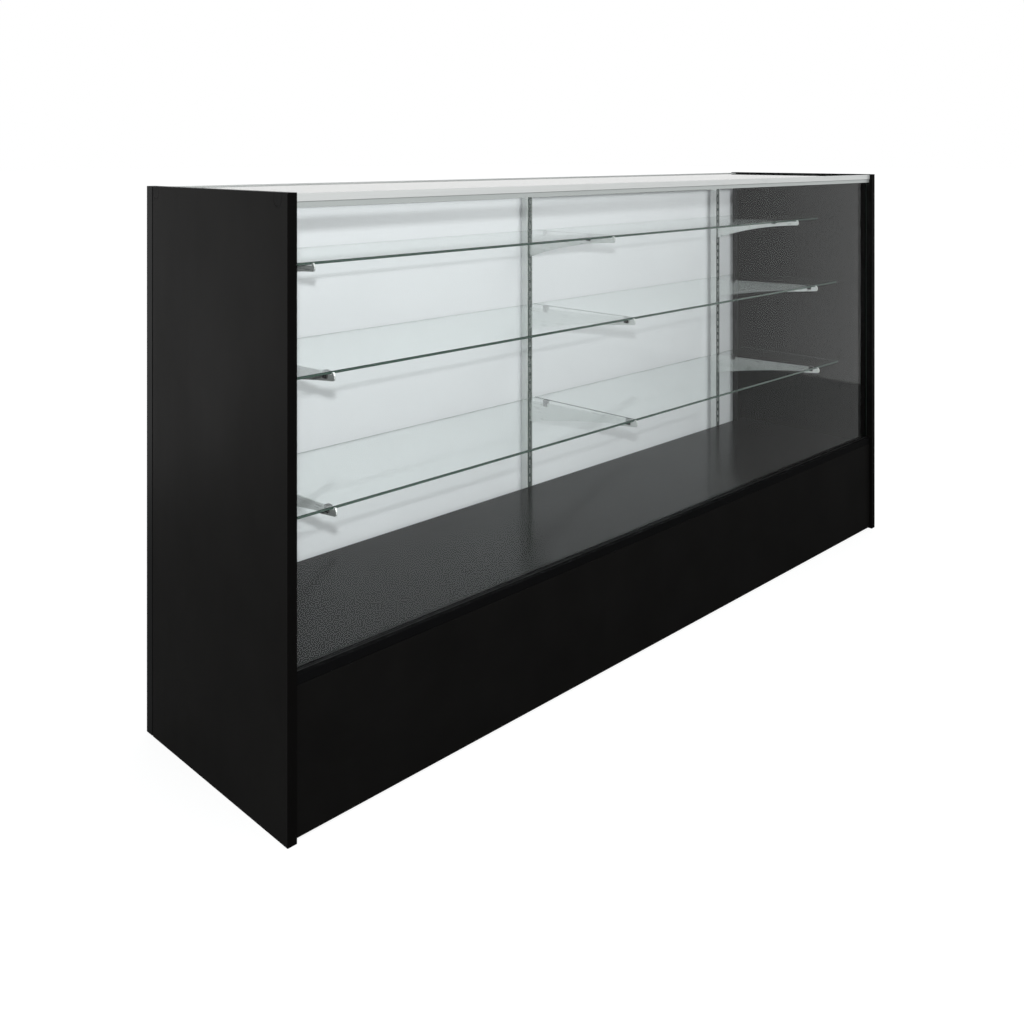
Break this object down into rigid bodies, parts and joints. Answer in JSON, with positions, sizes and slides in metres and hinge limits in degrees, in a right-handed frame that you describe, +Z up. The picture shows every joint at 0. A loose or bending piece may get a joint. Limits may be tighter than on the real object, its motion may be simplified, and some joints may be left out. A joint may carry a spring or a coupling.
{
  "type": "glass display showcase",
  "caption": "Floor showcase with glass front and top, glass shelves on blade brackets in slotted uprights and sliding rear doors, for goods on display.",
  "frame": {"origin": "on the floor, in the middle of the case's length and depth", "axes": "+X along the case to the right seen from the front, +Y to the rear doors, +Z up"},
  "size_m": [1.8288, 0.4572, 0.9652],
  "materials": {
    "black_laminate": "black melamine laminate, fine satin, on particle board",
    "bare_board": "bare particle board",
    "edge_band": "black plastic edge band",
    "black_rail": "black anodised, satin",
    "silver_rail": "clear anodised, satin",
    "vinyl": "black vinyl",
    "track_metal": "clear anodised, extruded",
    "clear_glass": "clear float glass, ground edges",
    "shelf_glass": "clear float glass, polished green edges",
    "upright_metal": "bright zinc, slotted",
    "bracket_metal": "bright zinc",
    "rubber": "moulded cushion",
    "door_white": "white painted hardboard, satin",
    "grip_plastic": "moulded",
    "lock_metal": "polished",
    "plug_metal": "polished",
    "steel": "zinc plated",
    "zinc_alloy": null,
    "cover_plastic": "moulded, black",
    "dowel_wood": "beech dowel"
  },
  "bodies": {
    "case": {"base_dowels": "dowel_wood", "base_support": "bare_board", "bracket_cushions": "rubber", "bracket_low_left": "bracket_metal", "bracket_low_middle": "bracket_metal", "bracket_low_right": "bracket_metal", "bracket_mid_left": "bracket_metal", "bracket_mid_middle": "bracket_metal", "bracket_mid_right": "bracket_metal", "bracket_top_left": "bracket_metal", "bracket_top_middle": "bracket_metal", "bracket_top_right": "bracket_metal", "cam_bolts": "steel", "cam_locks": "zinc_alloy", "deck_board": "black_laminate", "deck_cleat_left": "bare_board", "deck_cleat_right": "bare_board", "door_bottom_track": "track_metal", "door_jamb_left": "black_rail", "door_jamb_right": "black_rail", "door_top_track": "track_metal", "end_panel_left": "black_laminate", "end_panel_right": "black_laminate", "front_edge_band_left": "edge_band", "front_edge_band_right": "edge_band", "front_glass": "clear_glass", "front_sill_rail": "black_rail", "front_top_rail": "silver_rail", "kick_panel": "black_laminate", "rail_screws": "steel", "rear_base_panel": "black_laminate", "rear_sill_board": "black_laminate", "rear_stile_left": "black_laminate", "rear_stile_right": "black_laminate", "rear_top_rail": "silver_rail", "screw_covers": "cover_plastic", "shelf_low_left": "shelf_glass", "shelf_low_right": "shelf_glass", "shelf_mid_left": "shelf_glass", "shelf_mid_right": "shelf_glass", "shelf_top_left": "shelf_glass", "shelf_top_right": "shelf_glass", "sill_glazing_channel": "vinyl", "stile_dowels": "dowel_wood", "top_edge_band_left": "edge_band", "top_edge_band_right": "edge_band", "top_glass": "clear_glass", "top_glazing_channel": "vinyl", "upright_left": "upright_metal", "upright_middle": "upright_metal", "upright_right": "upright_metal", "upright_screws": "steel"},
    "door_left": {"door_left": "door_white", "door_grip_left": "grip_plastic"},
    "door_right": {"door_right": "door_white", "door_grip_right": "grip_plastic", "lock_barrel": "lock_metal"},
    "key_plug": {"key_plug": "plug_metal"}
  },
  "joints": [
    {"name": "door_left_slide", "type": "slide", "parent": "case", "child": "door_left", "axis": [1, 0, 0], "range_m": [0, 0.85]},
    {"name": "door_right_slide", "type": "slide", "parent": "case", "child": "door_right", "axis": [1, 0, 0], "range_m": [-0.85, 0]},
    {"name": "key_plug_turn", "type": "hinge", "parent": "door_right", "child": "key_plug", "pos_m": [0, 0.224, 0.56], "axis": [0, 1, 0], "range_deg": [0, 90]}
  ]
}
